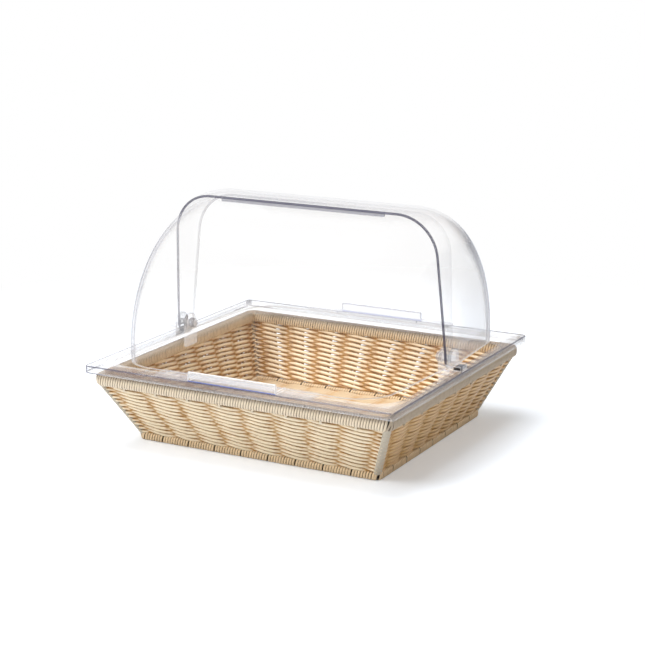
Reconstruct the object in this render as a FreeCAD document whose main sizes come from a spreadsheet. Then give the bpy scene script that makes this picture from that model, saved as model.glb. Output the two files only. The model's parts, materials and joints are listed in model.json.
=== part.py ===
import FreeCAD, Part
import Sketcher
import math
import os
from types import SimpleNamespace

# Countertop bread display bin: a woven basket with a clear frame lying on its rim, and two
# clear cover halves that turn about one axis and roll over each other.
# Origin on the table under the middle of the bin. X runs along the hinge axis to the right,
# Y to the back, Z up. Lengths in millimetres, angles in degrees.

# The driving dimensions: name, value, what it is.
SIZES = [
    ("frame_length", 354, "clear frame, left to right"),
    ("frame_width", 325, "clear frame, front to back"),
    ("frame_corner", 5, "outer corner radius of the frame"),
    ("frame_skirt", 8, "height of the frame's outer skirt"),
    ("frame_wall", 2.5, "thickness of the frame's plate, skirt and collar"),
    ("frame_rise", 9.5, "top of the frame above the rim that its collar stands on"),
    ("frame_edge", 1, "bevel of the frame's top edge"),
    ("flange_side", 12, "flange of the frame at the left and right"),
    ("flange_front", 18.5, "flange of the frame at the front and back"),
    ("opening_corner", 30, "corner radius of the frame's opening"),
    ("rim_inset", 5.5, "rim of the basket inside the frame's outline"),
    ("rim_top", 76.5, "top of the wrapped rim above the table"),
    ("rim_section", 13, "height and depth of the wrapped rim"),
    ("rim_round", 4, "rounding of the wrapped rim"),
    ("rim_core_depth", 4, "steel bar inside the rim, thickness"),
    ("rim_core_height", 8, "steel bar inside the rim, height"),
    ("rim_core_corner", 5, "bend of the steel bar at the corners"),
    ("rim_bare", 10, "bare steel left of the front and back wraps at each corner"),
    ("side_flare", 29.5, "rim outside the base at the left and right, as the walls lean"),
    ("front_flare", 35.5, "rim outside the base at the front and back"),
    ("base_section", 9, "height and depth of the wrapped base rim"),
    ("base_round", 3, "rounding of the wrapped base rim"),
    ("base_core_depth", 3.5, "steel bar inside the base rim, thickness"),
    ("base_core_height", 5, "steel bar inside the base rim, height"),
    ("base_core_corner", 5, "bend of the base bar at the corners"),
    ("base_bare", 8, "bare steel left of the front and back base wraps at each corner"),
    ("wrap_gap", 0.3, "play between the end of a wrap and the next one"),
    ("wall_thickness", 7.6, "woven wall at a stake, measured level"),
    ("wall_waist", 3.6, "woven wall where its strands cross, half way between two stakes"),
    ("wall_end", 5.6, "woven wall beside a corner post"),
    ("stake_radius", 1.5, "stakes that the walls and the floor are woven on"),
    ("front_stakes", 8, "stakes in the front wall and in the back wall"),
    ("side_stakes", 7, "stakes in each side wall"),
    ("post_radius", 3, "wrapped corner posts, which stand between the two steel frames"),
    ("post_gap", 0.3, "play between a corner post and a woven wall"),
    ("floor_rise", 2.5, "underside of the woven floor above the table"),
    ("floor_thickness", 5, "woven floor at a stake"),
    ("floor_waist", 3, "woven floor where its strands cross"),
    ("hinge_rise", 11.6, "hinge axis above the top of the frame"),
    ("foot_gap", 0.3, "covers above the top of the frame"),
    ("foot_seat", 5.1, "foot of the rear cover outside the edge of the opening"),
    ("cover_wall", 2.5, "wall of both covers"),
    ("side_draft", 3.8, "angle by which the covers' side walls lean inward"),
    ("rear_corner", 45, "outer radius between the rear cover's side walls and its arch"),
    ("front_corner", 42, "the same on the front cover"),
    ("nest_gap", 3.3, "space between the covers under the arch"),
    ("side_gap", 1.2, "space between the covers' side walls at the hinge"),
    ("edge_lean", 4.3, "angle by which the free edge of a cover leans away from its hinge"),
    ("tab_length", 178, "tab at the foot of each cover, along the frame"),
    ("lip_length", 100, "upturned finger lip of the tab"),
    ("lip_height", 10, "finger lip and tab together"),
    ("grip_wall", 2.5, "thickness of tab and lip"),
    ("lip_round", 1, "rounding of the finger lip's top edge"),
    ("strip_margin", 14.5, "stop strip short of where the arch's round shoulders begin"),
    ("strip_width", 3, "stop strip, along the arch"),
    ("strip_gap", 0.4, "stop strip above the front cover"),
    ("cheek_wall", 3, "cheeks of the hinge bracket"),
    ("cheek_radius", 10.5, "rounded top of the cheeks"),
    ("outer_play", 0.4, "rear cover inside the outer cheek"),
    ("inner_play", 1.2, "front cover outside the inner cheek, at the hinge axis"),
    ("bridge_gap", 0.5, "bridge between the cheeks below the covers' ears"),
    ("bridge_wall", 3.5, "bridge between the cheeks"),
    ("leg_drop", 14, "leg of the inner cheek below the top of the frame"),
    ("block_width", 14, "block of the bracket on the flange, front to back"),
    ("block_height", 7, "block of the bracket on the flange"),
    ("block_inset", 0.8, "block inside the frame's outer face"),
    ("block_round", 1, "rounding of the block's edges"),
    ("slot_length", 7.5, "slot through the block"),
    ("slot_height", 2.5, "slot through the block"),
    ("slot_floor", 1.8, "wall under the slot"),
    ("pin_radius", 3, "hinge pin"),
    ("pin_gap", 0.05, "play of the hinge pin in its holes"),
    ("head_radius", 5.2, "head of the hinge pin"),
    ("head_length", 6, "head of the hinge pin"),
    ("head_bevel", 1.4, "bevel of the pin's head"),
    ("overrun", 5, "how far cutting solids run past what they cut"),
]


class Size:
    """A number of the sheet, or one worked out from it, with the expression that gives it."""

    def __init__(self, number, text=None):
        self.number = float(number)
        self.text = str(number) if text is None else text

    def joined(self, other, sign, number):
        return Size(number, "(%s %s %s)" % (self.text, sign, other.text))

    def __add__(self, other):
        other = as_size(other)
        return self.joined(other, "+", self.number + other.number)

    def __sub__(self, other):
        other = as_size(other)
        return self.joined(other, "-", self.number - other.number)

    def __mul__(self, other):
        other = as_size(other)
        return self.joined(other, "*", self.number * other.number)

    def __truediv__(self, other):
        other = as_size(other)
        return self.joined(other, "/", self.number / other.number)

    def __rmul__(self, other):
        return as_size(other) * self

    def __neg__(self):
        return Size(-self.number, "(0 - %s)" % self.text)


def as_size(value):
    return value if isinstance(value, Size) else Size(value)


def root(value):
    return Size(math.sqrt(value.number), "sqrt(%s)" % value.text)


def sine(angle):
    return Size(math.sin(math.radians(angle.number)), "sin(%s)" % angle.text)


def cosine(angle):
    return Size(math.cos(math.radians(angle.number)), "cos(%s)" % angle.text)


def tangent(angle):
    return Size(math.tan(math.radians(angle.number)), "tan(%s)" % angle.text)


doc = FreeCAD.newDocument("bread_display_bin")
sheet = doc.addObject("Spreadsheet::Sheet", "Sizes")
for row, (name, value, meaning) in enumerate(SIZES, start=1):
    sheet.set("A%d" % row, meaning)
    sheet.set("B%d" % row, str(value))
    sheet.setAlias("B%d" % row, name)
doc.recompute()
size = SimpleNamespace(**{name: Size(value, "Sizes." + name) for name, value, meaning in SIZES})
nothing = Size(0)
finished = []


# Small tools that every sub-part is made with.

def place(thing, x=nothing, y=nothing, z=nothing, turn=0):
    """Moves an object to a place worked out from the sheet, turned about the vertical."""
    spin = FreeCAD.Rotation(FreeCAD.Vector(0, 0, 1), turn)
    thing.Placement = FreeCAD.Placement(FreeCAD.Vector(x.number, y.number, z.number), spin)
    for axis, value in (("x", x), ("y", y), ("z", z)):
        thing.setExpression("Placement.Base." + axis, value.text)


def new_body(name):
    return doc.addObject("PartDesign::Body", name)


def finish(thing, label):
    """Gives a sub-part its name and puts it on the list of what is written."""
    thing.Label = label
    finished.append(thing)
    return thing


def sketch_on(body, role, name, offset=nothing):
    """A sketch on one of the body's own origin planes, or at a distance from it."""
    plane = [item for item in body.Origin.OriginFeatures if item.Role == role][0]
    sketch = body.newObject("Sketcher::SketchObject", name)
    sketch.AttachmentSupport = [(plane, "")]
    sketch.MapMode = "FlatFace"
    sketch.setExpression("AttachmentOffset.Base.z", offset.text)
    return sketch


def fix(sketch, edge, end, kind, value):
    """Dimensions one point of a sketch from the sketch's own axis, DistanceX or DistanceY."""
    if value is nothing:
        axis = -2 if kind == "DistanceX" else -1
        sketch.addConstraint(Sketcher.Constraint("PointOnObject", edge, end, axis))
    else:
        rule = Sketcher.Constraint(kind, -1, 1, edge, end, value.number)
        index = sketch.addConstraint(rule)
        sketch.setExpression("Constraints[%d]" % index, value.text)


def outline(sketch, corners, arcs=None):
    """A closed line through the corners. arcs maps an edge's number to its centre, radius
    and whether it turns to the left."""
    arcs = arcs or {}
    edges = []
    for number, start in enumerate(corners):
        stop = corners[(number + 1) % len(corners)]
        first = FreeCAD.Vector(start[0].number, start[1].number, 0)
        last = FreeCAD.Vector(stop[0].number, stop[1].number, 0)
        if number not in arcs:
            edges.append((sketch.addGeometry(Part.LineSegment(first, last)), 1, 2))
            continue
        across, up, radius, left = arcs[number]
        centre = FreeCAD.Vector(across.number, up.number, 0)
        circle = Part.Circle(centre, FreeCAD.Vector(0, 0, 1), radius.number)
        angles = [math.atan2(point.y - centre.y, point.x - centre.x) for point in (first, last)]
        if not left:
            angles.reverse()
        edge = sketch.addGeometry(Part.ArcOfCircle(circle, angles[0], angles[1]))
        edges.append((edge, 1, 2) if left else (edge, 2, 1))
    for number, (edge, begin, end) in enumerate(edges):
        follower, start, other = edges[(number + 1) % len(edges)]
        sketch.addConstraint(Sketcher.Constraint("Coincident", edge, end, follower, start))
    for number, (edge, begin, end) in enumerate(edges):
        fix(sketch, edge, begin, "DistanceX", corners[number][0])
        fix(sketch, edge, begin, "DistanceY", corners[number][1])
    for number, (across, up, radius, left) in arcs.items():
        fix(sketch, edges[number][0], 3, "DistanceY", up)


def rectangle(sketch, left, right, low, high):
    outline(sketch, [(left, low), (right, low), (right, high), (left, high)])


def rounded_rectangle(sketch, length, width, radius):
    """A rectangle about the sketch's origin with equal round corners."""
    x, y = length / 2, width / 2
    i, j = x - radius, y - radius
    corners = [(-i, -y), (i, -y), (x, -j), (x, j), (i, y), (-i, y), (-x, j), (-x, -j)]
    arcs = {1: (i, -j, radius, True), 3: (i, j, radius, True)}
    arcs.update({5: (-i, j, radius, True), 7: (-i, -j, radius, True)})
    outline(sketch, corners, arcs)


def pad(body, sketch, length, symmetric=False):
    feature = body.newObject("PartDesign::Pad", sketch.Name + "_pad")
    feature.Profile = sketch
    feature.SideType = "Symmetric" if symmetric else "One side"
    feature.setExpression("Length", length.text)
    sketch.Visibility = False
    return feature


def pocket(body, sketch, depth=None, forward=False):
    """Cuts to a depth, or through everything on both sides where no depth is given."""
    feature = body.newObject("PartDesign::Pocket", sketch.Name + "_pocket")
    feature.Profile = sketch
    feature.Reversed = forward
    if depth is None:
        feature.Type = "ThroughAll"
        feature.SideType = "Symmetric"
    else:
        feature.setExpression("Length", depth.text)
    sketch.Visibility = False
    return feature


def ease_edges(body, base, wanted, size_of_it, kind="Fillet"):
    """Rounds or bevels those edges of the last feature for which the given test holds."""
    doc.recompute()
    names = ["Edge%d" % n for n, edge in enumerate(base.Shape.Edges, start=1) if wanted(edge)]
    feature = body.newObject("PartDesign::" + kind, base.Name + "_eased")
    feature.Base = (base, names)
    feature.setExpression("Radius" if kind == "Fillet" else "Size", size_of_it.text)
    return feature


def joined(kind, name, base, tool):
    """A boolean of two objects: Part::Cut takes the tool away, Part::Common keeps the shared."""
    feature = doc.addObject(kind, name)
    feature.Base = base
    feature.Tool = tool
    return feature


def group(name, members):
    compound = doc.addObject("Part::Compound", name)
    compound.Links = members
    return compound


def level_with(height):
    """A test for edges that lie flat at a height."""
    def test(edge):
        box = edge.BoundBox
        return abs(box.ZMin - height.number) < 1e-4 and abs(box.ZMax - height.number) < 1e-4
    return test


# Sizes that follow from the driving ones.
rim_length = size.frame_length - 2 * size.rim_inset
rim_width = size.frame_width - 2 * size.rim_inset
base_length = rim_length - 2 * size.side_flare
base_width = rim_width - 2 * size.front_flare
opening_length = size.frame_length - 2 * size.flange_side
opening_width = size.frame_width - 2 * size.flange_front
frame_top = size.rim_top + size.frame_rise
rim_bottom = size.rim_top - size.rim_section
hinge_height = frame_top + size.hinge_rise
ear_radius = size.hinge_rise - size.foot_gap
rear_foot = opening_width / 2 + size.foot_seat
rear_radius = root(rear_foot * rear_foot + ear_radius * ear_radius)
front_radius = rear_radius - size.cover_wall - size.nest_gap
wall_across = size.cover_wall / cosine(size.side_draft)
rear_half = opening_length / 2 - size.cheek_wall - size.outer_play
front_half = rear_half - wall_across - size.side_gap
inner_cheek = front_half - wall_across - size.inner_play


# Basket: four woven walls and a woven floor between a wrapped rim and a wrapped base rim.

def core_ring(name, length, width, section, depth, height, bend, middle):
    """A flat steel bar bent into a frame, halfway in the depth of the wrap that covers it."""
    body = new_body(name)
    low = middle - height / 2
    ring = sketch_on(body, "XY_Plane", name + "_outline", low)
    rounded_rectangle(ring, length - section + depth, width - section + depth, bend)
    bar = pad(body, ring, height)
    inside = sketch_on(body, "XY_Plane", name + "_inside", low)
    rounded_rectangle(inside, length - section - depth, width - section - depth, bend - depth)
    pocket(body, inside)
    return finish(body, name)


def wrap_bar(name, length, out, middle, section, edge, core, turn):
    """The wound cane on one side of a core ring, as one bar with the core's channel in it."""
    body = new_body(name)
    outside = sketch_on(body, "YZ_Plane", name + "_section")
    rounded_rectangle(outside, section, section, edge)
    pad(body, outside, length, symmetric=True)
    channel = sketch_on(body, "YZ_Plane", name + "_channel")
    depth, height = core
    rectangle(channel, -depth / 2, depth / 2, -height / 2, height / 2)
    pocket(body, channel)
    angle = math.radians(turn)
    across, along = round(math.sin(angle)) * out, round(-math.cos(angle)) * out
    place(body, across, along, middle, turn)
    return finish(body, name)


SIDES = (("front", 0), ("right", 90), ("back", 180), ("left", 270))
ROD_SIDES = 8
POST_SIDES = 16
rim_middle = size.rim_top - size.rim_section / 2
base_middle = size.base_section / 2
rim_core = (size.rim_core_depth, size.rim_core_height)
base_core = (size.base_core_depth, size.base_core_height)
core_ring("rim_steel_frame", rim_length, rim_width, size.rim_section,
          size.rim_core_depth, size.rim_core_height, size.rim_core_corner, rim_middle)
core_ring("base_steel_frame", base_length, base_width, size.base_section,
          size.base_core_depth, size.base_core_height, size.base_core_corner, base_middle)
for side, turn in SIDES:
    along_front = side in ("front", "back")
    if along_front:
        rim_run = rim_length - 2 * size.rim_bare
        rim_out = rim_width / 2 - size.rim_section / 2
        base_run = base_length - 2 * size.base_bare
        base_out = base_width / 2 - size.base_section / 2
    else:
        rim_run = rim_width - 2 * (size.rim_section + size.wrap_gap)
        rim_out = rim_length / 2 - size.rim_section / 2
        base_run = base_width - 2 * (size.base_section + size.wrap_gap)
        base_out = base_length / 2 - size.base_section / 2
    wrap_bar("rim_wrap_" + side, rim_run, rim_out, rim_middle,
             size.rim_section, size.rim_round, rim_core, turn)
    wrap_bar("base_wrap_" + side, base_run, base_out, base_middle,
             size.base_section, size.base_round, base_core, turn)


def leaning_rod(name, radius, foot, head, sides=ROD_SIDES):
    """A rod from a foot at the base rim to a head under the rim, of so many flat sides."""
    ends = []
    for tail, (x, y, z) in (("_foot", foot), ("_head", head)):
        ring = doc.addObject("Part::RegularPolygon", name + tail)
        ring.Polygon = sides
        ring.setExpression("Circumradius", radius.text)
        place(ring, x, y, z)
        ends.append(ring)
    rod = doc.addObject("Part::Loft", name)
    rod.Sections = ends
    rod.Solid = True
    rod.Ruled = True
    return rod


def twined_section(sketch, end, middle, span, bays, full, waist, last):
    """The section of twined cane across its stakes, which divide the span into equal bays:
    full at every stake, and waisted in each bay, where its strands cross. last is its
    thickness at both ends."""
    marks = [(-end, last)]
    for number in range(1, 2 * bays):
        spread = number / bays - 1
        marks.append((spread * span / 2, waist if number % 2 else full))
    marks.append((end, last))
    near = [(across, middle - thick / 2) for across, thick in marks]
    far = [(across, middle + thick / 2) for across, thick in reversed(marks)]
    outline(sketch, near + far)


def woven_wall(side, turn, low, high, count):
    """One leaning wall and the stakes that it is woven on, which fan out to the rim.
    low and high are its height, half its width there, how far out it stands, and the length
    of the wrapped rim that the stakes divide into equal bays."""
    stakes = []
    for number in range(1, count + 1):
        spread = 2.0 * number / (count + 1) - 1
        ends = [(spread * span / 2, -out, height) for height, half, out, span in (low, high)]
        name = "stake_%s_%d" % (side, number)
        stakes.append(leaning_rod(name, size.stake_radius, ends[0], ends[1]))
    body = new_body("wall_" + side)
    sections = []
    for tail, (height, half, out, span) in (("low", low), ("high", high)):
        sketch = sketch_on(body, "XY_Plane", "wall_%s_%s" % (side, tail), height)
        free = half - size.post_radius - size.post_gap
        twined_section(sketch, free, -out, span, count + 1, size.wall_thickness,
                       size.wall_waist, size.wall_end)
        sections.append(sketch)
    loft = body.newObject("PartDesign::AdditiveLoft", "wall_%s_loft" % side)
    loft.Profile = sections[0]
    loft.Sections = [sections[1]]
    loft.Ruled = True
    bundle = group("stakes_" + side, stakes)
    weave = joined("Part::Cut", "weave_" + side, body, bundle)
    for thing in (bundle, body):
        place(thing, turn=turn)
    return finish(bundle, "stakes_" + side), finish(weave, "weave_" + side)


foot_x = base_length / 2 - size.base_section / 2
foot_y = base_width / 2 - size.base_section / 2
head_x = rim_length / 2 - size.rim_section / 2
head_y = rim_width / 2 - size.rim_section / 2
post_low = base_middle + size.base_core_height / 2
post_high = rim_middle - size.rim_core_height / 2


def corner_at(height):
    """Where the middle line of a corner post stands at a height, across and along."""
    part = (height - post_low) / (post_high - post_low)
    return foot_x + (head_x - foot_x) * part, foot_y + (head_y - foot_y) * part


for side, turn in SIDES:
    ends = []
    for height, length, width in ((size.base_section, base_length, base_width),
                                  (rim_bottom, rim_length, rim_width)):
        across, along = corner_at(height)
        if side in ("front", "back"):
            ends.append((height, across, along, length))
        else:
            ends.append((height, along, across, width))
    stakes_wanted = size.front_stakes if side in ("front", "back") else size.side_stakes
    woven_wall(side, turn, ends[0], ends[1], int(stakes_wanted.number))
for depth, away in (("front", -1), ("back", 1)):
    for side, across in (("left", -1), ("right", 1)):
        name = "corner_post_%s_%s" % (depth, side)
        foot = (across * foot_x, away * foot_y, post_low)
        head = (across * head_x, away * head_y, post_high)
        finish(leaning_rod(name, size.post_radius, foot, head, POST_SIDES), name)

# The floor's stakes run front to back, in line with the feet of those in the walls.
floor_length = base_length - 2 * size.base_section
floor_width = base_width - 2 * size.base_section
floor_stakes = []
for number in range(1, int(size.front_stakes.number) + 1):
    spread = 2.0 * number / (int(size.front_stakes.number) + 1) - 1
    rod = doc.addObject("Part::Prism", "floor_stake_%d" % number)
    rod.Polygon = ROD_SIDES
    rod.setExpression("Circumradius", size.stake_radius.text)
    rod.setExpression("Height", floor_width.text)
    middle = size.floor_rise + size.floor_thickness / 2
    place(rod, spread * base_length / 2, -floor_width / 2, middle)
    lying = FreeCAD.Rotation(FreeCAD.Vector(1, 0, 0), -90)
    rod.Placement = FreeCAD.Placement(rod.Placement.Base, lying)
    floor_stakes.append(rod)
floor_bundle = finish(group("floor_stakes", floor_stakes), "floor_stakes")
slab = new_body("floor_slab")
section = sketch_on(slab, "XZ_Plane", "floor_section")
twined_section(section, floor_length / 2, size.floor_rise + size.floor_thickness / 2,
               base_length, int(size.front_stakes.number) + 1, size.floor_thickness,
               size.floor_waist, size.floor_thickness)
pad(slab, section, floor_width, symmetric=True)
finish(joined("Part::Cut", "floor_weave", slab, floor_bundle), "floor_weave")


# Clear frame: a flange with a skirt outside and a deeper collar round its opening, which
# stands on the basket's rim.
frame = new_body("cover_frame")
wall = size.frame_wall
skirt_low = frame_top - size.frame_skirt
flange = sketch_on(frame, "XY_Plane", "frame_outline", skirt_low)
rounded_rectangle(flange, size.frame_length, size.frame_width, size.frame_corner)
pad(frame, flange, size.frame_skirt)
hollow = sketch_on(frame, "XY_Plane", "frame_hollow", skirt_low)
rounded_rectangle(hollow, size.frame_length - 2 * wall, size.frame_width - 2 * wall,
                  size.frame_corner - wall)
pocket(frame, hollow, size.frame_skirt - wall, forward=True)
collar = sketch_on(frame, "XY_Plane", "frame_collar", size.rim_top)
rounded_rectangle(collar, opening_length + 2 * wall, opening_width + 2 * wall,
                  size.opening_corner + wall)
pad(frame, collar, size.frame_rise)
mouth = sketch_on(frame, "XY_Plane", "frame_opening", frame_top)
rounded_rectangle(mouth, opening_length, opening_width, size.opening_corner)
cut = pocket(frame, mouth)
ease_edges(frame, cut, level_with(frame_top), size.frame_edge, "Chamfer")
finish(frame, "cover_frame")


# Hinge brackets: a clear fork round the ears of both covers. Its outer cheek lies against
# the collar, its inner cheek ends in a leg inside the rim, and a block lies on the flange.
bracket_low = ear_radius + size.bridge_gap + size.bridge_wall
leg_low = size.hinge_rise + size.leg_drop
block_end = size.frame_length / 2 - size.block_inset


def cheek(body, name, low, offset):
    """A flat cheek, rounded about the hinge axis at its top."""
    half = size.cheek_radius
    sketch = sketch_on(body, "YZ_Plane", name, offset)
    corners = [(-half, -low), (half, -low), (half, nothing), (-half, nothing)]
    outline(sketch, corners, {2: (nothing, nothing, half, True)})
    return pad(body, sketch, size.cheek_wall)


def hinge_bracket(side, turn):
    body = new_body("bracket_" + side)
    outer = opening_length / 2 - size.cheek_wall
    inner = inner_cheek - size.cheek_wall
    cheek(body, "outer_cheek_" + side, bracket_low, outer)
    cheek(body, "inner_cheek_" + side, leg_low, inner)
    half = size.cheek_radius
    bridge = sketch_on(body, "YZ_Plane", "bridge_" + side, inner)
    rectangle(bridge, -half, half, -bracket_low, size.bridge_wall - bracket_low)
    pad(body, bridge, opening_length / 2 - inner)
    foot = sketch_on(body, "YZ_Plane", "block_" + side, opening_length / 2)
    width = size.block_width / 2
    rectangle(foot, -width, width, -size.hinge_rise, size.block_height - size.hinge_rise)
    block = pad(body, foot, block_end - opening_length / 2)
    end = block_end.number
    ease_edges(body, block, lambda edge: abs(edge.BoundBox.XMin - end) < 1e-4
               and edge.BoundBox.ZMax > size.slot_floor.number - size.hinge_rise.number,
               size.block_round)
    slot = sketch_on(body, "XZ_Plane", "slot_" + side)
    middle = (block_end + opening_length / 2) / 2
    floor = size.slot_floor - size.hinge_rise
    rectangle(slot, middle - size.slot_length / 2, middle + size.slot_length / 2,
              floor, floor + size.slot_height)
    pocket(body, slot)
    hole = sketch_on(body, "YZ_Plane", "pin_hole_" + side)
    edge = hole.addGeometry(Part.Circle(FreeCAD.Vector(), FreeCAD.Vector(0, 0, 1),
                                        size.pin_radius.number))
    hole.addConstraint(Sketcher.Constraint("Coincident", edge, 3, -1, 1))
    bore = size.pin_radius + size.pin_gap
    index = hole.addConstraint(Sketcher.Constraint("Radius", edge, bore.number))
    hole.setExpression("Constraints[%d]" % index, bore.text)
    pocket(body, hole)
    place(body, z=hinge_height, turn=turn)
    return finish(body, "hinge_bracket_" + side)


def hinge_pin(side, turn):
    """A headed pin, pushed outward through both cheeks and both ears."""
    body = new_body("pin_" + side)
    profile = sketch_on(body, "XZ_Plane", "pin_profile_" + side)
    seat = inner_cheek - size.cheek_wall
    tip = seat - size.head_length
    end = opening_length / 2
    rim = size.head_radius - size.head_bevel
    outline(profile, [(tip, nothing), (end, nothing), (end, size.pin_radius),
                      (seat, size.pin_radius), (seat, size.head_radius),
                      (tip + size.head_bevel, size.head_radius), (tip, rim)])
    turned = body.newObject("PartDesign::Revolution", "pin_turned_" + side)
    turned.Profile = profile
    turned.ReferenceAxis = (profile, ["H_Axis"])
    turned.Angle = 360
    place(body, z=hinge_height, turn=turn)
    return finish(body, "hinge_pin_" + side)


for side, turn in (("right", 0), ("left", 180)):
    hinge_bracket(side, turn)
    hinge_pin(side, turn)


# Covers: each is part of a barrel about the hinge axis, with leaning ends and round
# shoulders, cut to its side outline: level along its foot, round at the ear about the pin,
# and straight up its free edge.

def flat_half(half, radius, shoulder):
    """Half the straight stretch of a barrel's crown, between its two round shoulders."""
    draft = size.side_draft
    return half - (radius - shoulder) * tangent(draft) - shoulder / cosine(draft)


def barrel(name, half, radius, shoulder):
    """The solid that a cover's outer or inner surface turns about the hinge axis."""
    body = new_body(name)
    profile = sketch_on(body, "XZ_Plane", name + "_profile")
    across, up = flat_half(half, radius, shoulder), radius - shoulder
    touch = across + shoulder * cosine(size.side_draft), up + shoulder * sine(size.side_draft)
    outline(profile, [(-half, nothing), (half, nothing), touch, (across, radius),
                      (-across, radius), (-touch[0], touch[1])],
            {2: (across, up, shoulder, True), 4: (-across, up, shoulder, True)})
    turned = body.newObject("PartDesign::Revolution", name + "_turned")
    turned.Profile = profile
    turned.ReferenceAxis = (profile, ["H_Axis"])
    turned.Angle = 360
    place(body, z=hinge_height)
    return body


def free_edge(height, inset=nothing):
    """A point of a cover's free edge, seen from the side, for the half that faces -Y."""
    slope = tangent(size.edge_lean)
    start = (ear_radius - inset) / cosine(size.edge_lean)
    return start + height * slope, height


def side_outline(name, radius, turn):
    """What is kept of a barrel, as a prism across the whole width."""
    body = new_body(name)
    sketch = sketch_on(body, "YZ_Plane", name + "_line")
    lean = size.edge_lean
    reach = radius + size.overrun
    corners = [(-reach, -ear_radius), (nothing, -ear_radius),
               (ear_radius * cosine(lean), -ear_radius * sine(lean)),
               free_edge(reach), (-reach, reach)]
    outline(sketch, corners, {1: (nothing, nothing, ear_radius, True)})
    pad(body, sketch, size.frame_length, symmetric=True)
    place(body, z=hinge_height, turn=turn)
    return body


def cover(name, half, radius, shoulder, turn):
    """One cover half with the holes of its ears, and the outer barrel for its grip to fit."""
    outer = barrel(name + "_outside", half, radius, shoulder)
    inner = barrel(name + "_inside", half - wall_across, radius - size.cover_wall,
                   shoulder - size.cover_wall)
    shell = joined("Part::Cut", name + "_wall", outer, inner)
    kept = joined("Part::Common", name + "_half", shell, side_outline(name + "_side", radius, turn))
    drill = doc.addObject("Part::Cylinder", name + "_drill")
    bore = size.pin_radius + size.pin_gap
    drill.setExpression("Radius", bore.text)
    drill.setExpression("Height", size.frame_length.text)
    lying = FreeCAD.Rotation(FreeCAD.Vector(0, 1, 0), 90)
    place(drill, -size.frame_length / 2, nothing, hinge_height)
    drill.Placement = FreeCAD.Placement(drill.Placement.Base, lying)
    finish(joined("Part::Cut", name + "_shell", kept, drill), name + "_shell")
    return outer


def grip(name, outside, radius, turn):
    """A tab from the cover's foot to the frame's outer edge, with an upturned finger lip."""
    body = new_body(name + "_moulding")
    far = size.frame_width / 2
    low = -ear_radius
    tab = sketch_on(body, "YZ_Plane", name + "_tab")
    rectangle(tab, radius - size.overrun, far, low, low + size.grip_wall)
    pad(body, tab, size.tab_length, symmetric=True)
    lip = sketch_on(body, "YZ_Plane", name + "_lip")
    rectangle(lip, far - size.grip_wall, far, low, low + size.lip_height)
    raised = pad(body, lip, size.lip_length, symmetric=True)
    top = low + size.lip_height
    ease_edges(body, raised, level_with(top), size.lip_round)
    place(body, z=hinge_height, turn=turn)
    return finish(joined("Part::Cut", name, body, outside), name)


front_outside = cover("front_cover", front_half, front_radius, size.front_corner, 0)
rear_outside = cover("rear_cover", rear_half, rear_radius, size.rear_corner, 180)
grip("front_grip", front_outside, front_radius, 180)
grip("rear_grip", rear_outside, rear_radius, 0)

# Stop strip: a clear bar under the front edge of the rear cover, which meets the front
# cover's tab when one half has rolled right over the other.
strip_outer = rear_radius - size.cover_wall
strip_inner = front_radius + size.strip_gap
strip_length = 2 * (flat_half(rear_half - wall_across, strip_outer,
                              size.rear_corner - size.cover_wall) - size.strip_margin)
tubes = []
for name, radius in (("strip_outside", strip_outer), ("strip_inside", strip_inner)):
    tube = doc.addObject("Part::Cylinder", name)
    tube.setExpression("Radius", radius.text)
    tube.setExpression("Height", strip_length.text)
    place(tube, -strip_length / 2, nothing, hinge_height)
    lying = FreeCAD.Rotation(FreeCAD.Vector(0, 1, 0), 90)
    tube.Placement = FreeCAD.Placement(tube.Placement.Base, lying)
    tubes.append(tube)
ring = joined("Part::Cut", "strip_ring", tubes[0], tubes[1])
slice_body = new_body("strip_slice")
slice_line = sketch_on(slice_body, "YZ_Plane", "strip_line")
low, high = strip_inner - size.overrun, strip_outer + size.overrun
outline(slice_line, [free_edge(low, size.strip_width), free_edge(low),
                     free_edge(high), free_edge(high, size.strip_width)])
pad(slice_body, slice_line, strip_length, symmetric=True)
place(slice_body, z=hinge_height, turn=180)
finish(joined("Part::Common", "stop_strip", ring, slice_body), "stop_strip")


# Every feature is checked, then each sub-part is written under its own name.
doc.recompute()
for thing in doc.Objects:
    if {"Invalid", "Error"} & set(thing.State):
        raise RuntimeError("%s has failed: %s" % (thing.Name, thing.State))
os.makedirs("parts", exist_ok=True)
for thing in finished:
    if thing.Shape.isNull() or not thing.Shape.isValid() or not thing.Shape.Solids:
        raise RuntimeError("%s has no sound solid" % thing.Label)
for thing in finished:
    thing.Shape.exportStep("parts/%s.step" % thing.Label)
print("%d sub-parts written" % len(finished))
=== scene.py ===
import json
import math
import random

import bmesh
import bpy
from mathutils import Matrix, Quaternion, Vector


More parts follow.
